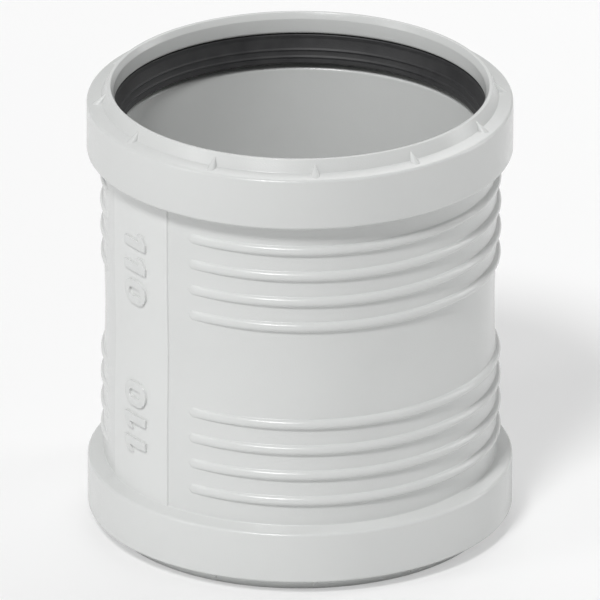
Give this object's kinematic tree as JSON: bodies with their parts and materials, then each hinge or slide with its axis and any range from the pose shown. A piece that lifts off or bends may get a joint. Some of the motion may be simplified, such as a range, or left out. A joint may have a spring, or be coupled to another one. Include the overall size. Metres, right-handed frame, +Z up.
{
  "type": "double socket coupling",
  "caption": "Moulded coupling for 110 mm drain pipe, with a push-fit socket and a rubber lip seal at each end, ribs round the outside and a raised label strip.",
  "frame": {"origin": "centre of the lower rim, where the coupling stands", "axes": "+Z up along the bore axis, -Y towards the middle of the label strip"},
  "size_m": [0.128, 0.128, 0.1394],
  "materials": {
    "moulded_plastic": "pale grey polypropylene, finely textured moulding",
    "seal_rubber": "black rubber, matt with a light talc bloom"
  },
  "bodies": {
    "root": {"coupling_body": "moulded_plastic", "upper_lip_seal": "seal_rubber", "lower_lip_seal": "seal_rubber"}
  },
  "joints": []
}
